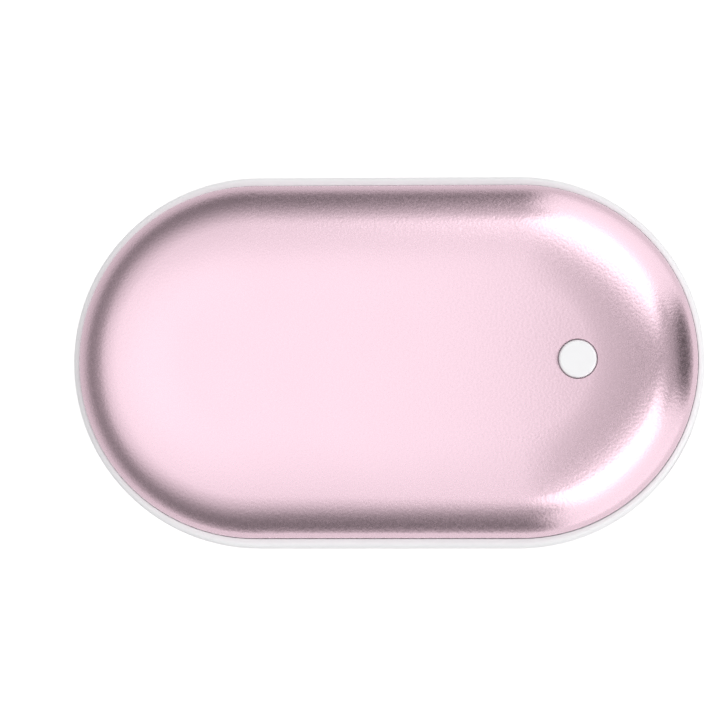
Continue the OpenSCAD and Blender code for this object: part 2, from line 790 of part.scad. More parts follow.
// A pad whose outer face follows the heater film and whose inner face is flat on the cells
module insulation_pad() {
    intersection() {
        dome_space(pad_depth, dome_z - 1);
        block(pad_x0, pad_x1, -pad_y, pad_y, pad_z, body_thk);
    }
}

module upper_insulation_pad() {
    color([0.85, 0.85, 0.80]) insulation_pad();
}

module lower_insulation_pad() {
    color([0.85, 0.85, 0.80]) mirrored_below() insulation_pad();
}

// A heater lead lies on the film beside the pad, passes the cells' ends and turns to the board
module upper_heater_leads() {
    z0 = mid_z + film_face_h - lead_d / 2 - seat;
    z1 = board_top + lead_d / 2 + seat;
    color([0.9, 0.9, 0.88]) for (side = [-1, 1]) lead([
        [film_x1 - film_land, side * heater_lead_y, z0],
        [film_x1, side * heater_lead_y, z0 - 0.1],
        [board_x + 0.4, side * heater_lead_y, (z0 + z1) / 2 + 0.4],
        [board_x + 2, side * heater_lead_y, z1 + 0.9],
        [board_x + 4.5, side * heater_lead_y, z1]], lead_d);
}

module lower_heater_leads() {
    z0 = mid_z - film_face_h + lead_d / 2 + seat;
    z1 = board_z - lead_d / 2 - seat;
    color([0.9, 0.9, 0.88]) for (side = [-1, 1]) lead([
        [film_x1 - film_land, side * heater_lead_y, z0],
        [film_x1 + 1, side * heater_lead_y, z0 + 0.1],
        [board_x + 1.3, side * heater_lead_y, z0 + 2.2],
        [board_x + 3.1, side * heater_lead_y, (z0 + z1) / 2],
        [board_x + 3.9, side * heater_lead_y, z1 - 3],
        [board_x + 4.8, side * heater_lead_y, z1 - 0.7],
        [board_x + 6.4, side * heater_lead_y, z1]], lead_d);
}

// A temperature sensor: a bead on the film with two thin legs to the board
module sensor_bead(z) {
    translate([sensor_x, 0, z]) rotate([0, 90, 0]) cylinder(d = sensor_d, h = sensor_len, $fn = 24);
}

module upper_temperature_sensor() {
    z = film_z - sensor_d / 2 - seat;
    x = sensor_x + sensor_len - 0.2;
    color(black) sensor_bead(z);
    color(steel) for (side = [-1, 1]) lead([
        [x, side * 0.3, z],
        [x + 1.5, side * 0.8, z - 0.4],
        [board_x, side * 3.2, board_top + 4.2],
        [board_x + 2, side * 4.2, board_top + 1.6],
        [board_x + 4, side * 3.8, board_top + sensor_leg_d / 2 + seat]], sensor_leg_d);
}

module lower_temperature_sensor() {
    z = 2 * mid_z - film_z + sensor_d / 2 + seat;
    x = sensor_x + sensor_len - 0.2;
    color(black) sensor_bead(z);
    color(steel) for (side = [-1, 1]) lead([
        [x, side * 0.3, z],
        [x + 1.5, side * 0.8, z + 0.2],
        [board_x + 0.3, side * 3, z + 1.8],
        [board_x + 3, side * 5, z + 5],
        [board_x + 4, side * 5.6, mid_z - 1],
        [board_x + 5, side * 5.8, board_z - sensor_leg_d / 2 - seat]], sensor_leg_d);
}

top_shell();
bottom_shell();
mid_frame();
upper_rim_gasket();
lower_rim_gasket();
button_cap();
switch_body();
switch_cover();
switch_dome();
switch_plunger();
circuit_board();
board_screws();
controller_chip();
heater_transistors();
power_inductor();
chip_capacitors();
status_lights();
light_pipe();
outlet_socket_shell();
outlet_socket_tongue();
outlet_socket_contacts();
charging_socket_shell();
charging_socket_tongue();
charging_socket_contacts();
cell_cradle();
cradle_screws();
left_cell();
right_cell();
cell_end_washers();
front_joining_strip();
rear_joining_strip();
battery_leads();
upper_heater_film();
lower_heater_film();
upper_heater_leads();
lower_heater_leads();
upper_insulation_pad();
lower_insulation_pad();
upper_temperature_sensor();
lower_temperature_sensor();
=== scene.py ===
"""Rechargeable hand warmer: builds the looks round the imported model, in metres, in the model's own frame."""

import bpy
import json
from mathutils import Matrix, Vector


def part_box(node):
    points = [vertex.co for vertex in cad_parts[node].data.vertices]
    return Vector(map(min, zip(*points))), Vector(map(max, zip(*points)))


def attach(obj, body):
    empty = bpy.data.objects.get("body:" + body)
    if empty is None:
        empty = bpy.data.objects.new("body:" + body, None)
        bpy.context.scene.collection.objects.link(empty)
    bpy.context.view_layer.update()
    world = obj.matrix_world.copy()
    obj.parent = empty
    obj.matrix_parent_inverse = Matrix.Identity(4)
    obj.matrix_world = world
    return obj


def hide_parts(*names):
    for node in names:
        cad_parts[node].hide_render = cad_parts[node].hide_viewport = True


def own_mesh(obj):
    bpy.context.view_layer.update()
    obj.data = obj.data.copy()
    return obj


bl_info = {
    "name": "Hand warmer builder",
    "version": (1, 0, 0),
    "blender": (4, 5, 0),
    "location": "3D View > Sidebar > Hand warmer",
    "description": "Adds the warmer's smooth shells and button, its finishes and its studio",
    "category": "Add Mesh",
}

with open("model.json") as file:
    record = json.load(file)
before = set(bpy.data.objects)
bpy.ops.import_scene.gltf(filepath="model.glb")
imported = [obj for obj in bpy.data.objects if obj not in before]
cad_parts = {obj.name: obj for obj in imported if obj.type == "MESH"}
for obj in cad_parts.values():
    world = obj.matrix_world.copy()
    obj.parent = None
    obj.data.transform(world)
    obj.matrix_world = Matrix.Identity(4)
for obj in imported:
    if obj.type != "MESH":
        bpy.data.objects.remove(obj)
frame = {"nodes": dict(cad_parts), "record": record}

import json
import math

import bmesh
import bpy
import numpy as np
from bpy.props import FloatProperty, FloatVectorProperty, IntProperty, PointerProperty


# Kinds of setting

def length(name, default, description):
    """A length in metres that shows in the sidebar with the scene's own unit."""
    return FloatProperty(name=name, default=default, description=description, unit="LENGTH", precision=5)


def amount(name, default, description):
    """A plain number, such as a share, a brightness or an angle in degrees."""
    return FloatProperty(name=name, default=default, description=description, precision=3)


def amounts(name, default, description):
    """A few plain numbers that show together."""
    return FloatVectorProperty(name=name, default=default, description=description, size=len(default),
                               precision=3)


def lengths(name, default, description):
    """A few lengths in metres that show together."""
    return FloatVectorProperty(name=name, default=default, description=description, size=len(default),
                               unit="LENGTH", precision=5)


def tint(name, default, description):
    """A colour."""
    return FloatVectorProperty(name=name, default=default, description=description, size=3, subtype="COLOR",
                               min=0.0, max=1.0)


class BodySettings(bpy.types.PropertyGroup):
    """Sizes of the shells and the button, the same as in the model."""
    thickness: length("Thickness", 0.024, "Over both shells")
    centre_x: length("Arc centre", 0.0214, "Distance from the middle to the centre of each round end")
    shell_radius: length("Shell radius", 0.02835, "Outer radius of a shell's round end")
    shell_wall: length("Shell wall", 0.001, "Thickness of the aluminium")
    rim_height: length("Rim height", 0.0158, "Height of the upper shell's rim, in its groove")
    bend_radius: length("Bend radius", 0.003, "The tight outer bend")
    shoulder_radius: length("Shoulder radius", 0.013, "The shoulder between bend and crown")
    crown_radius: length("Crown radius", 0.04, "The shallow crown")
    patch_radius: length("Patch radius", 0.016, "Where the grid round the button ends and the rings begin")
    edge_radius: length("Hole edge", 0.00005, "Rounding of the button hole's edge")
    button_x: length("Button place", 0.0305, "Distance from the middle to the button")
    button_radius: length("Button radius", 0.003, "Radius of the button cap")
    button_gap: length("Button gap", 0.0002, "Gap round the cap")
    button_top: length("Button top", 0.0243, "Height of the cap's face")
    button_edge: length("Button edge", 0.00038, "Rounding of the cap's upper edge")
    button_dish: length("Button dish", 0.00004, "How much lower the cap's face is in its middle")
    collar_top: length("Collar top", 0.02295, "Height of the collar that holds the cap in")
    collar_height: length("Collar height", 0.0008, "Thickness of the collar")
    stem_radius: length("Stem radius", 0.0018, "Radius of the cap's stem")
    dome_sheet: length("Dome sheet", 0.00008, "Thickness of the switch's sprung dome")
    dome_keep: amount("Dome pressed", 0.19, "Share of its height that the dome keeps when it is pressed")
    steps: IntProperty(name="Steps", default=560, description="Points round the outline")


class FinishSettings(bpy.types.PropertyGroup):
    """Colours and textures of the outer surfaces."""
    shell_colour: tint("Shell", (0.95, 0.70, 0.80), "Pink anodised aluminium")
    shell_roughness: amount("Shell roughness", 0.265, "Roughness of the blasted metal")
    grain: length("Grain", 0.00042, "Size of the blasted grains")
    grain_depth: length("Grain depth", 0.00001, "Depth of the blasted grains")
    plastic_colour: tint("Plastic", (0.955, 0.95, 0.965), "White moulded plastic")


class StageSettings(bpy.types.PropertyGroup):
    """The camera, the soft lights, the room and the floor."""
    view_x: length("View X", -0.00470, "The point that the camera looks at")
    view_y: length("View Y", 0.00048, "The point that the camera looks at")
    view_width: length("View width", 0.1163, "Width of the view at the object")
    lean_x: amount("Lean X", 3.0, "Degrees that the camera leans towards +X")
    lean_y: amount("Lean Y", -3.0, "Degrees that the camera leans towards +Y")
    lens: amount("Lens", 200.0, "Focal length in millimetres")
    overhead: amount("Overhead", 0.38, "Brightness of the overhead softbox, where 1 is white")
    overhead_z: length("Overhead height", 0.13, "Height of the overhead softbox")
    overhead_x0: length("Overhead -X edge", -0.24, "Edge of the overhead softbox")
    overhead_x1: length("Overhead +X edge", 0.028, "Edge of the overhead softbox")
    overhead_y0: length("Overhead -Y edge", -0.142, "Edge of the overhead softbox")
    overhead_y1: length("Overhead +Y edge", 0.130, "Edge of the overhead softbox")
    overhead_fade: lengths("Overhead fade", (0.045, 0.07), "How far the softbox fades at its -Y and +Y sides")
    overhead_step: length("Overhead step", 0.0005, "Height between the softbox's three layers")
    facing_distance: length("Facing distance", 0.8, "Distance of the corner and bridge softboxes")
    corner: amounts("Corner", (1.6, 1.0), "Brightness of the upper and lower softbox in a stack")
    corner_turn: amounts("Corner azimuths", (52.5, -44.0), "Degrees from +X of the two stacks of softboxes")
    corner_spread: amounts("Corner spreads", (29.0, 31.0), "Degrees to each side that each softbox covers")
    corner_extra: amounts("Corner extras", (0.0, 2.5), "Degrees to each side that each stack adds to that")
    corner_edges: amounts("Corner edges", (30.0, 56.0, 89.0), "Degrees from overhead of its softboxes' edges")
    bridge: amount("Bridge", 0.25, "Brightness of the softbox between the two stacks")
    bridge_turn: amount("Bridge azimuth", 4.0, "Degrees from +X of the bridge softbox")
    bridge_edges: amounts("Bridge edges", (42.0, 64.0), "Degrees from overhead of its upper and lower edge")
    bridge_spread: amount("Bridge spread", 17.0, "Degrees of azimuth to each side that it covers")
    fill: amount("Fill", 0.55, "Brightness of the fill light, which has no reflection")
    fill_turn: amount("Fill azimuth", -38.0, "Degrees from +X of the fill light")
    fill_down: amount("Fill down", 50.0, "Degrees from overhead of the fill light")
    fill_distance: length("Fill distance", 1.0, "Distance of the fill light")
    fill_size: length("Fill size", 0.8, "Length of each side of the fill light")
    room_high: amount("Room above", 0.70, "Brightness of the room overhead")
    room_low: amount("Room below", 0.10, "Brightness of the room's walls")
    room_lean: amounts("Room lean", (-0.75, 0.1), "How much brighter the room is towards +X and +Y")
    horizon: amount("Horizon", 0.3, "Brightness that the room gains at the level of the floor")
    horizon_lean: amounts("Horizon lean", (0.2, -0.8), "How much brighter the horizon is towards +X and +Y")
    horizon_height: amount("Horizon height", 0.09, "Sine of the angle over the floor at which that gain ends")
    floor_reach: length("Floor reach", 3.0, "Distance from the middle to each side of the floor")
    floor_drop: length("Floor drop", 0.0002, "How far below the object the floor lies")
    floor_paper: amount("Floor paper", 0.85, "How much of the light the floor's paper throws back")
    floor_lift: amount("Floor lift", 0.50, "Glow of its own that makes the lit floor white to the camera")
    floor_glow: amounts("Floor glow", (0.66, 0.86), "Brightness in reflections at its -X +Y and +X -Y side")
    floor_change: length("Floor change", 0.1, "Distance from the middle at which each of those is reached")


# Surfaces

# Degrees from flat at which the shell's bend passes into its shoulder, and the shoulder into its crown
BEND_END = 45.0
CROWN_START = 15.0

# Rings of points over each part of a skin, and rows of points between the hole and the rings
CROWN_RINGS = 13
SHOULDER_RINGS = 26
BEND_RINGS = 16
PATCH_ROWS = 44

# The rows lie closer together near the hole: a row's share of the way is its even share to this power
PATCH_CROWDING = 1.4

# Entries in the tables that a height or a tilt is looked up in
TABLE_SIZE = 400

# Points that are closer together than this many metres are one point
WELD_DISTANCE = 0.0000001


def dome_profile(body, inset, tilts):
    """Radius and height of the shell's section at these tilts from flat, moved inwards by inset.

    The section is three arcs that meet without a corner: the outer bend from 90 to 45 degrees, the shoulder
    from 45 to 15 and the crown from 15 to 0. A point on an arc is
    centre + (radius - inset) * (sin tilt, cos tilt).
    """
    bend = np.array([body.shell_radius - body.bend_radius, 0.0])
    turn = np.radians([BEND_END, CROWN_START])
    step, further_step = np.stack([np.sin(turn), np.cos(turn)], -1)
    shoulder = bend + (body.bend_radius - body.shoulder_radius) * step
    crown = shoulder + (body.shoulder_radius - body.crown_radius) * further_step
    base = body.thickness - crown[1] - body.crown_radius
    tilt = np.radians(np.asarray(tilts, float))
    which = np.where(tilt > turn[0], 0, np.where(tilt > turn[1], 1, 2))
    centre = np.array([bend, shoulder, crown])[which]
    radius = np.array([body.bend_radius, body.shoulder_radius, body.crown_radius])[which] - inset
    return centre[:, 0] + radius * np.sin(tilt), base + centre[:, 1] + radius * np.cos(tilt)


def height_at(body, inset, radius):
    """Height of the shell's crown at this distance from the line between the two arc centres.

    The table goes to a tilt of 40 degrees, which is well past the patch.
    """
    radii, heights = dome_profile(body, inset, np.linspace(0.0, 40.0, TABLE_SIZE))
    return np.interp(radius, radii, heights)


def outline(body):
    """Directions and centres round a long round plan, evenly spaced by length, as (cos, sin, centre x).

    A point of the plan at radius r is (centre x + r * cos, r * sin).
    """
    arc = math.pi * body.patch_radius
    side = 2 * body.centre_x
    way = np.arange(body.steps) / body.steps * 2 * (arc + side)
    half = np.floor(way / (arc + side))
    way = way - half * (arc + side)
    on_arc = way < arc
    angle = np.where(on_arc, way / body.patch_radius, math.pi) - math.pi / 2 + half * math.pi
    centre = np.where(on_arc, body.centre_x, body.centre_x - (way - arc)) * np.where(half > 0, -1, 1)
    return np.cos(angle), np.sin(angle), centre


def grid_faces(rows, columns, close_rows=False):
    """Quads between neighbouring points of a grid whose rows run round and join their own starts.

    With close_rows the last row also joins the first one.
    """
    row = np.arange(rows if close_rows else rows - 1)[:, None]
    column = np.arange(columns)[None, :]
    here, there = row * columns, (row + 1) % rows * columns
    after = (column + 1) % columns
    quads = np.stack([here + column, here + after, there + after, there + column], -1)
    return quads.reshape(-1, 4)


def new_piece(name, points, faces):
    """An object with this mesh, smooth apart from edges of more than 40 degrees."""
    mesh = bpy.data.meshes.new(name)
    mesh.from_pydata(points.reshape(-1, 3), [], faces)
    weld(mesh)
    mesh.polygons.foreach_set("use_smooth", np.ones(len(mesh.polygons), bool))
    mesh.set_sharp_from_angle(angle=math.radians(40))
    piece = bpy.data.objects.new(name, mesh)
    bpy.context.scene.collection.objects.link(piece)
    return piece


def weld(mesh):
    """Joins the points that lie on each other at seams and poles, and turns the faces outward."""
    work = bmesh.new()
    work.from_mesh(mesh)
    bmesh.ops.remove_doubles(work, verts=work.verts, dist=WELD_DISTANCE)
    bmesh.ops.recalc_face_normals(work, faces=work.faces)
    work.to_mesh(mesh)
    work.free()


def skin_tilts(body, inset):
    """Tilts of a skin's rings in degrees, from the one at the patch radius to the upright wall."""
    tried = np.linspace(0.0, CROWN_START, TABLE_SIZE)
    radii, heights = dome_profile(body, inset, tried)
    crown = np.linspace(np.interp(body.patch_radius, radii, tried), CROWN_START, CROWN_RINGS)
    shoulder = np.linspace(CROWN_START, BEND_END, SHOULDER_RINGS)
    bend = np.linspace(BEND_END, 90.0, BEND_RINGS)
    return np.concatenate([crown, shoulder[1:], bend[1:]])


def shell_points(body, hole_radius):
    """A closed shell, as rows from the middle over the outer skin, round the rim and back under the inner.

    Within the patch radius a row's point is a blend between a circle round the button's place and the
    outline, and outside it the rows are outlines of growing radius. With no hole the circle has no size, and
    the patch closes on one point in the middle of the object. The hole's upper edge is a quarter circle.
    """
    cos, sin, centre = outline(body)
    rim_x = centre + body.patch_radius * cos
    rim_y = body.patch_radius * sin
    middle_x = body.button_x if hole_radius else 0.0
    reach = np.hypot(rim_x - middle_x, rim_y)
    way_x, way_y = (rim_x - middle_x) / reach, rim_y / reach

    def patch_row(share, radius, inset, drop=0.0):
        distance = radius + (reach - radius) * share
        x, y = middle_x + way_x * distance, way_y * distance
        from_line = np.hypot(np.maximum(np.abs(x) - body.centre_x, 0), y)
        return np.stack([x, y, height_at(body, inset, from_line) - drop], -1)

    def ring_row(radius, z):
        return np.stack([centre + radius * cos, radius * sin, np.full_like(cos, z)], -1)

    shares = np.linspace(0, 1, PATCH_ROWS) ** PATCH_CROWDING
    edge = body.edge_radius if hole_radius else 0.0
    rows = []
    if hole_radius:
        for angle in np.radians([90, 60, 30]):
            grown = hole_radius + edge * (1 - math.sin(angle))
            rows.append(patch_row(0, grown, 0, drop=edge * (1 - math.cos(angle))))
    rows += [patch_row(share, hole_radius + edge, 0) for share in shares[:-1]]
    rows += [ring_row(radius, z) for radius, z in zip(*dome_profile(body, 0, skin_tilts(body, 0)))]
    rows.append(ring_row(body.shell_radius, body.rim_height))
    rows.append(ring_row(body.shell_radius - body.shell_wall, body.rim_height))
    inner_tilts = skin_tilts(body, body.shell_wall)[::-1]
    rows += [ring_row(radius, z) for radius, z in zip(*dome_profile(body, body.shell_wall, inner_tilts))]

    # Every fourth row is enough on the inner skin.
    inner_shares = np.append(shares[-5:0:-4], 0.0)
    rows += [patch_row(share, hole_radius, body.shell_wall) for share in inner_shares]
    return np.array(rows)


class HANDWARMER_OT_shells(bpy.types.Operator):
    """Add the two pressed aluminium shells, the upper one with the button's hole"""
    bl_idname = "handwarmer.shells"
    bl_label = "Add shells"

    def execute(self, context):
        body = context.scene.hand_warmer_body
        finish = shell_finish(context.scene.hand_warmer_finish)
        upper = shell_points(body, body.button_radius + body.button_gap)
        lower = shell_points(body, 0.0)
        lower[..., 2] = body.thickness - lower[..., 2]
        for name, points in (("top_shell", upper), ("bottom_shell", lower)):
            has_hole = name == "top_shell"
            faces = grid_faces(len(points), points.shape[1], close_rows=has_hole)
            piece = new_piece("smooth_" + name, points, faces)
            piece.data.materials.append(finish)
            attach(piece, "housing")
            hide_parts(name)
        return {"FINISHED"}


class HANDWARMER_OT_button(bpy.types.Operator):
    """Add the moulded button cap with its collar"""
    bl_idname = "handwarmer.button"
    bl_label = "Add button"

    def execute(self, context):
        body = context.scene.hand_warmer_body
        low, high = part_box("button_cap")
        points = button_points(body, low.z, (high.x - low.x) / 2)
        piece = new_piece("smooth_button_cap", points, grid_faces(len(points), points.shape[1]))
        piece.data.materials.append(button_finish(context.scene.hand_warmer_finish))
        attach(piece, "button")
        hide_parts("button_cap")
        return {"FINISHED"}


def button_points(body, bottom, collar_radius):
    """The cap's section turned about its axis: a slightly dished face, a rounded edge, a collar and a stem.

    The face is a parabola that is lower in its middle by the dish. The edge is a quarter circle.
    """
    edge = body.button_edge
    flat_radius = body.button_radius - edge
    edge_z = body.button_top - edge
    face = [(flat_radius * share, body.button_top - body.button_dish * (1 - share ** 2))
            for share in np.linspace(0, 1, 10)]
    turn = [(flat_radius + edge * math.sin(angle), edge_z + edge * math.cos(angle))
            for angle in np.radians(np.arange(10, 91, 10))]
    collar_bottom = body.collar_top - body.collar_height
    collar = [(body.button_radius, body.collar_top), (collar_radius, body.collar_top),
              (collar_radius, collar_bottom)]
    stem = [(body.stem_radius, collar_bottom), (body.stem_radius, bottom), (0.0, bottom)]
    return turned(np.array(face + turn + collar + stem), body.button_x)


def turned(section, centre_x, steps=96):
    """The section's points of radius and height, turned about an upright axis at this x."""
    angle = np.arange(steps) / steps * 2 * math.pi
    x = centre_x + section[:, :1] * np.cos(angle)
    y = section[:, :1] * np.sin(angle)
    return np.stack([x, y, np.broadcast_to(section[:, 1:], x.shape)], -1)


class HANDWARMER_OT_dome(bpy.types.Operator):
    """Add the sprung dome under the plunger"""
    bl_idname = "handwarmer.dome"
    bl_label = "Add switch dome"

    def execute(self, context):
        body = context.scene.hand_warmer_body
        low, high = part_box("switch_dome")
        section = dome_section((high.x - low.x) / 2, high.z - low.z, body.dome_sheet)
        points = turned(section + [0.0, low.z], body.button_x)
        piece = new_piece("sprung_switch_dome", points, grid_faces(len(points), points.shape[1]))
        piece.data.materials.append(metal_finish("sprung dome steel", (0.62, 0.62, 0.63), 0.22))
        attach(piece, "housing")
        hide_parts("switch_dome")
        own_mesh(piece)
        return {"FINISHED"}


def dome_section(reach, rise, sheet):
    """Half a thin dome: both skins are parabolas of the radius, which meet the seat at the rim."""
    share = np.linspace(0.0, 1.0, 24)
    upper = np.stack([reach * share, rise * (1 - share ** 2) + sheet * share ** 2], -1)
    lower = np.stack([reach * share, (rise - sheet) * (1 - share ** 2)], -1)
    return np.concatenate([upper, lower[::-1]])


# Finishes

class Value:
    """One output of a shader node, so that shader maths reads as plain expressions."""

    def __init__(self, nodes, socket):
        self.nodes, self.socket = nodes, socket

    def maths(self, operation, *terms):
        return self.nodes.add("ShaderNodeMath", *terms, settings={"operation": operation})

    def __add__(self, other):
        return self.maths("ADD", self, other)

    def __mul__(self, other):
        return self.maths("MULTIPLY", self, other)

    def __sub__(self, other):
        return self.maths("SUBTRACT", self, other)

    def __rsub__(self, other):
        return self.maths("SUBTRACT", other, self)

    def __abs__(self):
        return self.maths("ABSOLUTE", self)

    __radd__ = __add__

    def above(self, limit):
        """1 where this value is over the limit, and 0 elsewhere."""
        return self.maths("GREATER_THAN", self, limit)

    def stripes(self, pitch, start):
        """1 on stripes that repeat every two pitches and are narrower with a larger start, and 0 between."""
        return (self.maths("PINGPONG", self, pitch) * (1 / pitch)).above(start)

    def clamp(self):
        """This value kept between 0 and 1."""
        return self.maths("MINIMUM", self.maths("MAXIMUM", self, 0.0), 1.0)

    def ease(self, low, high):
        """0 where this value is low, 1 where it is high, and a smooth step between."""
        share = ((self - low) * (1 / (high - low))).clamp()
        return share * share * (3.0 - share * 2.0)

    def mix(self, first, second):
        """A colour that is first where this value is 0 and second where it is 1."""
        sockets = {0: self, 6: first, 7: second}
        return self.nodes.add("ShaderNodeMix", settings={"data_type": "RGBA"}, output=2, sockets=sockets)


class Nodes:
    """The node tree of a material or a world, built up by adding nodes."""

    def __init__(self, owner):
        owner.use_nodes = True
        self.tree = owner.node_tree

    def add(self, kind, *terms, settings=None, output=0, sockets=None):
        """Adds a node with these settings, joins or sets its sockets, and gives one of its outputs.

        The terms go into its first sockets, and the others are given by number or name.
        """
        node = self.tree.nodes.new(kind)
        for key, value in (settings or {}).items():
            setattr(node, key, value)
        for key, value in (dict(enumerate(terms)) | (sockets or {})).items():
            self.join(value, node.inputs[key])
        return Value(self, node.outputs[output]) if node.outputs else None

    def join(self, value, socket):
        """Links a node's output to the socket, or sets it to a number, a vector or a colour."""
        if isinstance(value, Value):
            self.tree.links.new(value.socket, socket)
        elif socket.type == "RGBA":
            socket.default_value = (*value, 1.0)
        else:
            socket.default_value = value

    def split(self, vector):
        """The three parts of a vector."""
        node = self.add("ShaderNodeSeparateXYZ", vector).socket.node
        return [Value(self, output) for output in node.outputs]


class Finish(Nodes):
    """A material with one principled shader."""

    def __init__(self, name, colour, roughness, metallic=0.0, **constants):
        self.material = bpy.data.materials.new(name)
        self.material.diffuse_color = (*colour, 1.0)
        super().__init__(self.material)
        self.shader = self.tree.nodes["Principled BSDF"]
        self.set(Base_Color=colour, Roughness=roughness, Metallic=metallic, **constants)
        self.place = self.add("ShaderNodeTexCoord", output="Object")

    def axes(self):
        """The point's three coordinates in metres."""
        return self.split(self.place)

    def noise(self, size, detail=2.0, stretch=None):
        """A smooth random value about 0.5 whose features are about this many metres wide."""
        place = self.place
        if stretch:
            place = self.add("ShaderNodeVectorMath", self.place, stretch, settings={"operation": "MULTIPLY"})
        return self.add("ShaderNodeTexNoise", sockets={"Vector": place, "Scale": 1 / size, "Detail": detail})

    def set(self, **values):
        """Joins values to the shader's sockets, whose names are written with underscores for spaces."""
        for key, value in values.items():
            self.join(value, self.shader.inputs[key.replace("_", " ")])

    def relief(self, height, depth):
        """Lets the light see this height, where 1 stands for this many metres."""
        sockets = {"Height": height, "Distance": depth, "Strength": 1.0}
        self.set(Normal=self.add("ShaderNodeBump", output="Normal", sockets=sockets))


def shade(colour, factor):
    """The colour made lighter or darker by this factor."""
    return tuple(min(1.0, channel * factor) for channel in colour)


def shell_finish(settings):
    """Pink anodised aluminium: fine blasted grains, a faint cloud in the dye, and slightly uneven gloss."""
    pink = tuple(settings.shell_colour)
    finish = Finish("pink anodised aluminium", pink, settings.shell_roughness, metallic=1.0)
    fine = finish.noise(settings.grain, detail=0.0)
    cloud = finish.noise(0.012)
    finish.set(Base_Color=cloud.mix(shade(pink, 0.985), shade(pink, 1.015)),
               Roughness=settings.shell_roughness - 0.04 + fine * 0.08)
    finish.relief(fine, settings.grain_depth)
    return finish.material


def plastic_finish(name, colour, roughness, grain=0.0003, depth=0.000004, mottle=0.03, **constants):
    """Moulded plastic: a fine spark-eroded texture, and a faint flow mottle in the colour."""
    finish = Finish(name, colour, roughness, **constants)
    fine = finish.noise(grain, detail=3.0)
    flow = finish.noise(0.006)
    finish.set(Base_Color=flow.mix(shade(colour, 1 - mottle), shade(colour, 1 + mottle)),
               Roughness=roughness - 0.05 + fine * 0.1)
    finish.relief(fine, depth)
    return finish.material


def button_finish(settings):
    """The cap's plastic is a little smoother than the band's."""
    return plastic_finish("white button plastic", tuple(settings.plastic_colour), 0.30, depth=0.000001,
                          mottle=0.01, Subsurface_Weight=0.1, Subsurface_Radius=(0.001, 0.001, 0.001),
                          Subsurface_Scale=1.0)


def metal_finish(name, colour, roughness, stretch=(1.0, 12.0, 12.0)):
    """Rolled or drawn metal: fine lines along the roll, and a slow change in brightness."""
    finish = Finish(name, colour, roughness, metallic=1.0)
    lines = finish.noise(0.0006, detail=3.0, stretch=stretch)
    cloud = finish.noise(0.004)
    finish.set(Base_Color=cloud.mix(shade(colour, 0.9), shade(colour, 1.08)),
               Roughness=roughness - 0.08 + lines * 0.16)
    finish.relief(lines, 0.000004)
    return finish.material


def board_finish():
    """Green solder mask over raised copper tracks, which run in two directions and show in lighter green."""
    green = (0.02, 0.16, 0.06)
    finish = Finish("green circuit board", green, 0.35, Coat_Weight=0.3)
    x, y = finish.axes()[:2]
    bend = finish.noise(0.006, detail=0.0) * 0.0016
    across = (x + bend).stripes(0.0006, 0.62)
    along = (y + bend).stripes(0.0008, 0.7)
    region = finish.noise(0.007, detail=0.0).above(0.5)
    tracks = across * region + along * (1 - region)
    finish.set(Base_Color=tracks.mix(green, (0.05, 0.27, 0.11)))
    finish.relief(tracks, 0.00003)
    return finish.material


def film_finish():
    """Amber film over an etched heating track that runs to and fro across the width."""
    amber = (0.62, 0.27, 0.04)
    finish = Finish("amber heater film", amber, 0.28, Coat_Weight=0.4)
    x, y = finish.axes()[:2]
    lanes = x.stripes(0.0014, 0.55)
    turns = abs(y).above(0.0185)
    track = (lanes + turns).clamp()
    finish.set(Base_Color=track.mix(amber, (0.42, 0.24, 0.12)), Metallic=track * 0.4)
    finish.relief(track, 0.00002)
    return finish.material


def sleeve_finish():
    """A shrunk sleeve over a cell: glossy, with shallow wrinkles that run lengthwise."""
    blue = (0.03, 0.16, 0.36)
    finish = Finish("blue cell sleeve", blue, 0.22, Coat_Weight=0.3)
    folds = finish.noise(0.0025, stretch=(0.3, 1.0, 1.0))
    cloud = finish.noise(0.01)
    finish.set(Base_Color=cloud.mix(shade(blue, 0.85), shade(blue, 1.2)))
    finish.relief(folds, 0.00004)
    return finish.material


def felt_finish(name, colour):
    """Pressed fibres: long thin noise in two directions, multiplied into a soft pile."""
    finish = Finish(name, colour, 0.95, Sheen_Weight=0.3)
    lengthwise = finish.noise(0.0004, detail=3.0, stretch=(1.0, 5.0, 1.0))
    crosswise = finish.noise(0.0004, detail=3.0, stretch=(5.0, 1.0, 1.0))
    pile = lengthwise * crosswise
    finish.set(Base_Color=pile.mix(shade(colour, 0.75), shade(colour, 1.15)))
    finish.relief(pile, 0.00012)
    return finish.material


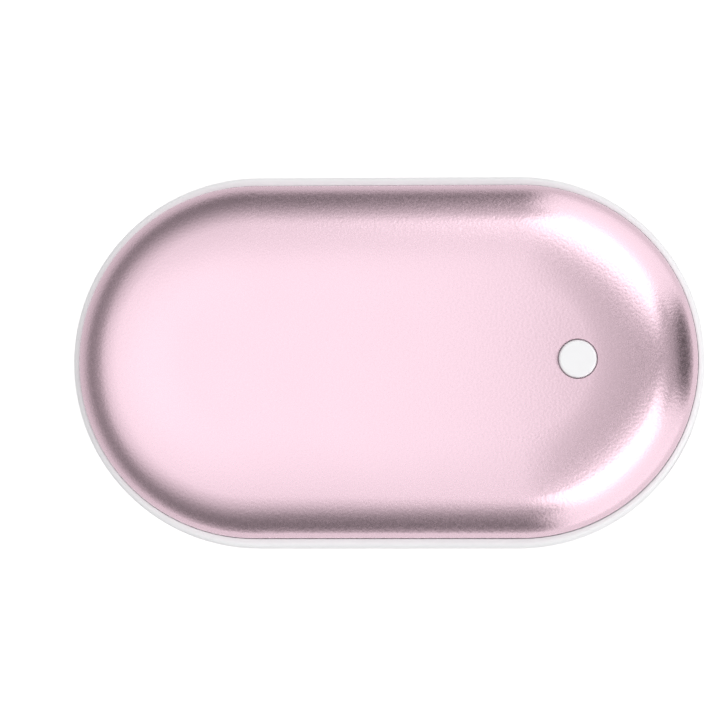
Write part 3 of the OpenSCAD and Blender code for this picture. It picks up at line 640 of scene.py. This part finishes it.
def make_finishes(settings):
    """One finish for each of the record's material slots, apart from those of the shells and the cap."""
    return {
        "frame_white": plastic_finish("white band plastic", tuple(settings.plastic_colour), 0.36),
        "gasket_black": felt_finish("black foam adhesive", (0.02, 0.02, 0.02)),
        "switch_black": plastic_finish("black switch plastic", (0.02, 0.02, 0.02), 0.45),
        "socket_steel": metal_finish("plated socket steel", (0.62, 0.62, 0.63), 0.28),
        "board_green": board_finish(),
        "screw_steel": metal_finish("plated screw steel", (0.55, 0.55, 0.57), 0.32, stretch=(8.0, 8.0, 1.0)),
        "chip_black": plastic_finish("chip epoxy", (0.015, 0.015, 0.016), 0.55, grain=0.0001),
        "capacitor_tan": plastic_finish("capacitor ceramic", (0.40, 0.24, 0.12), 0.5, mottle=0.12),
        "light_clear": plastic_finish("clear light pipe", (0.86, 0.90, 0.93), 0.12, depth=0.000001,
                                      Transmission_Weight=0.75, IOR=1.49),
        "light_phosphor": plastic_finish("light phosphor", (0.92, 0.80, 0.32), 0.4, mottle=0.08),
        "tongue_white": plastic_finish("white socket tongue", (0.80, 0.80, 0.80), 0.42),
        "tongue_black": plastic_finish("black socket tongue", (0.02, 0.02, 0.022), 0.42),
        "contact_gold": metal_finish("gold contacts", (0.85, 0.58, 0.20), 0.2),
        "cradle_white": plastic_finish("white cradle plastic", (0.72, 0.72, 0.72), 0.5, grain=0.0005),
        "cell_wrap": sleeve_finish(),
        "washer_paper": felt_finish("pressed paper", (0.78, 0.74, 0.60)),
        "nickel": metal_finish("rolled nickel", (0.58, 0.56, 0.52), 0.3, stretch=(12.0, 1.0, 12.0)),
        "lead_wire": plastic_finish("red lead insulation", (0.45, 0.02, 0.015), 0.4),
        "heater_wire": plastic_finish("white lead insulation", (0.75, 0.75, 0.72), 0.45),
        "film_amber": film_finish(),
        "pad_grey": felt_finish("grey felt", (0.50, 0.50, 0.48)),
        "sensor_black": plastic_finish("sensor epoxy", (0.02, 0.02, 0.022), 0.3),
    }


class HANDWARMER_OT_finishes(bpy.types.Operator):
    """Give every piece that keeps the model's own shape its finish"""
    bl_idname = "handwarmer.finishes"
    bl_label = "Apply finishes"

    def execute(self, context):
        finishes = make_finishes(context.scene.hand_warmer_finish)
        for part in frame["record"]["subparts"]:
            if part["material_slot"] in finishes:
                materials = frame["nodes"][part["node"]].data.materials
                materials.clear()
                materials.append(finishes[part["material_slot"]])
        return {"FINISHED"}


# Stage

WHITE = (1.0, 1.0, 1.0)


def facing(azimuth, down, distance):
    """Place and turn of something that looks at the object from this direction, given in degrees."""
    azimuth, down = math.radians(azimuth), math.radians(down)
    level = distance * math.sin(down)
    place = (level * math.cos(azimuth), level * math.sin(azimuth), distance * math.cos(down))
    return place, (0, down, azimuth)


def softbox(name, place, turn, size, brightness):
    """A flat soft light that the camera doesn't see.

    Its radiance is power / (pi * area), so brightness is what a mirror would show of it.
    """
    light = bpy.data.lights.new(name, "AREA")
    light.shape = "RECTANGLE"
    light.size, light.size_y = size
    light.energy = brightness * math.pi * size[0] * size[1]
    lamp = bpy.data.objects.new(name, light)
    lamp.location = place
    lamp.rotation_euler = turn
    lamp.visible_camera = False
    bpy.context.scene.collection.objects.link(lamp)
    return lamp


def floor_finish(stage):
    """Pale paper that keeps the object's shadow, lifted to white for the camera by a glow of its own.

    In reflections and behind clear parts the floor glows instead. That glow grows from its dim to its bright
    side along the line that halves +X and -Y.
    """
    material = bpy.data.materials.new("pale floor")
    nodes = Nodes(material)
    nodes.tree.nodes.clear()
    camera = nodes.add("ShaderNodeLightPath", output="Is Camera Ray")
    glossy = nodes.add("ShaderNodeLightPath", output="Is Glossy Ray")
    through = nodes.add("ShaderNodeLightPath", output="Is Transmission Ray")
    x, y = nodes.split(nodes.add("ShaderNodeTexCoord", output="Object"))[:2]
    along = ((x - y) * math.sqrt(0.5)).ease(-stage.floor_change, stage.floor_change)
    dim, bright = stage.floor_glow
    mirrored = nodes.add("ShaderNodeEmission", WHITE, along * (bright - dim) + dim)
    paper = nodes.add("ShaderNodeBsdfDiffuse", (stage.floor_paper,) * 3)
    lift = nodes.add("ShaderNodeEmission", WHITE, camera * stage.floor_lift)
    seen = nodes.add("ShaderNodeAddShader", paper, lift)
    surface = nodes.add("ShaderNodeMixShader", (glossy + through).clamp(), seen, mirrored)
    nodes.add("ShaderNodeOutputMaterial", surface)
    return material


class HANDWARMER_OT_stage(bpy.types.Operator):
    """Add the floor, the softboxes and the camera above the object"""
    bl_idname = "handwarmer.stage"
    bl_label = "Add stage"

    def execute(self, context):
        stage = context.scene.hand_warmer_stage
        self.add_floor(stage)
        self.add_lights(stage)
        self.add_room(context, stage)
        self.add_camera(context, stage)
        return {"FINISHED"}

    def add_lights(self, stage):
        """The softboxes.

        One lies level overhead, in three layers of growing width that fade its long sides. Two stacks of two
        face the object from beyond the button's end, with a dim one between them. The fill light isn't seen
        in reflections.
        """
        layers = (-1, 0, 1)
        for grow in layers:
            y0 = stage.overhead_y0 - grow * stage.overhead_fade[0]
            y1 = stage.overhead_y1 + grow * stage.overhead_fade[1]
            place = ((stage.overhead_x0 + stage.overhead_x1) / 2, (y0 + y1) / 2,
                     stage.overhead_z + grow * stage.overhead_step)
            size = (stage.overhead_x1 - stage.overhead_x0, y1 - y0)
            softbox("overhead softbox", place, (0, 0, 0), size, stage.overhead / len(layers))
        edges = stage.corner_edges
        for azimuth, extra in zip(stage.corner_turn, stage.corner_extra):
            for low, high, spread, brightness in zip(edges, edges[1:], stage.corner_spread, stage.corner):
                self.add_facing_box(stage, "corner softbox", azimuth, low, high, spread + extra, brightness)
        self.add_facing_box(stage, "bridge softbox", stage.bridge_turn, *stage.bridge_edges,
                            stage.bridge_spread, stage.bridge)
        place, turn = facing(stage.fill_turn, stage.fill_down, stage.fill_distance)
        fill = softbox("fill light", place, turn, (stage.fill_size, stage.fill_size), stage.fill)
        fill.visible_glossy = False

    def add_facing_box(self, stage, name, azimuth, low, high, spread, brightness):
        """A softbox that covers these angles from overhead, and this much azimuth to each side."""
        place, turn = facing(azimuth, (low + high) / 2, stage.facing_distance)
        size = (2 * stage.facing_distance * math.tan(math.radians(high - low) / 2),
                2 * math.hypot(*place[:2]) * math.tan(math.radians(spread)))
        softbox(name, place, turn, size, brightness)

    def add_floor(self, stage):
        """A wide flat floor just under the object."""
        reach = stage.floor_reach
        corners = [(-reach, -reach, 0), (reach, -reach, 0), (reach, reach, 0), (-reach, reach, 0)]
        mesh = bpy.data.meshes.new("floor")
        mesh.from_pydata(corners, [], [(0, 1, 2, 3)])
        mesh.materials.append(floor_finish(stage))
        floor = bpy.data.objects.new("floor", mesh)
        floor.location.z = -stage.floor_drop
        bpy.context.scene.collection.objects.link(floor)

    def add_room(self, context, stage):
        """A room that is white to the camera, and in reflections brighter above, at -X and at the floor."""
        world = bpy.data.worlds.new("studio room")
        nodes = Nodes(world)
        x, y, z = nodes.split(nodes.add("ShaderNodeTexCoord", output="Generated"))
        walls = z * z * (stage.room_high - stage.room_low) + stage.room_low
        walls = walls * (x * stage.room_lean[0] + y * stage.room_lean[1] + 1.0)
        horizon = (x * stage.horizon_lean[0] + y * stage.horizon_lean[1] + 1.0) * stage.horizon
        room = walls + (1.0 - z.ease(0.0, stage.horizon_height)) * horizon
        camera = nodes.add("ShaderNodeLightPath", output="Is Camera Ray")
        background = nodes.tree.nodes["Background"]
        nodes.join(WHITE, background.inputs["Color"])
        nodes.join(camera + (1.0 - camera) * room, background.inputs["Strength"])
        context.scene.world = world

    def add_camera(self, context, stage):
        """A long lens almost straight above the object."""
        data = bpy.data.cameras.new("camera")
        data.lens = stage.lens
        data.sensor_width = 36.0
        data.clip_start, data.clip_end = 0.01, 20.0
        camera = bpy.data.objects.new("camera", data)
        lean_x, lean_y = math.radians(stage.lean_x), math.radians(stage.lean_y)
        height = stage.view_width * stage.lens / data.sensor_width
        middle_z = context.scene.hand_warmer_body.thickness / 2
        camera.location = (stage.view_x + height * math.tan(lean_x), stage.view_y + height * math.tan(lean_y),
                           middle_z + height)
        camera.rotation_euler = (-lean_y, lean_x, 0.0)
        context.scene.collection.objects.link(camera)
        context.scene.camera = camera
        context.scene.view_settings.view_transform = "Standard"


class HANDWARMER_PT_panel(bpy.types.Panel):
    """The warmer's steps and sizes in the sidebar"""
    bl_label = "Hand warmer"
    bl_space_type = "VIEW_3D"
    bl_region_type = "UI"
    bl_category = "Hand warmer"

    def draw(self, context):
        for step in STEPS:
            self.layout.operator(step.bl_idname)
        for settings in (context.scene.hand_warmer_body, context.scene.hand_warmer_finish,
                         context.scene.hand_warmer_stage):
            box = self.layout.box()
            for name in settings.__annotations__:
                box.prop(settings, name)


STEPS = (
    HANDWARMER_OT_shells,
    HANDWARMER_OT_button,
    HANDWARMER_OT_dome,
    HANDWARMER_OT_finishes,
    HANDWARMER_OT_stage,
)
CLASSES = (BodySettings, FinishSettings, StageSettings, *STEPS, HANDWARMER_PT_panel)


def register():
    for cls in CLASSES:
        bpy.utils.register_class(cls)
    bpy.types.Scene.hand_warmer_body = PointerProperty(type=BodySettings)
    bpy.types.Scene.hand_warmer_finish = PointerProperty(type=FinishSettings)
    bpy.types.Scene.hand_warmer_stage = PointerProperty(type=StageSettings)


def unregister():
    del bpy.types.Scene.hand_warmer_stage
    del bpy.types.Scene.hand_warmer_finish
    del bpy.types.Scene.hand_warmer_body
    for cls in reversed(CLASSES):
        bpy.utils.unregister_class(cls)


def main():
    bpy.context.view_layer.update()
    register()
    bpy.ops.handwarmer.shells()
    bpy.ops.handwarmer.button()
    bpy.ops.handwarmer.dome()
    bpy.ops.handwarmer.finishes()
    bpy.ops.handwarmer.stage()


if __name__ == "__main__":
    main()
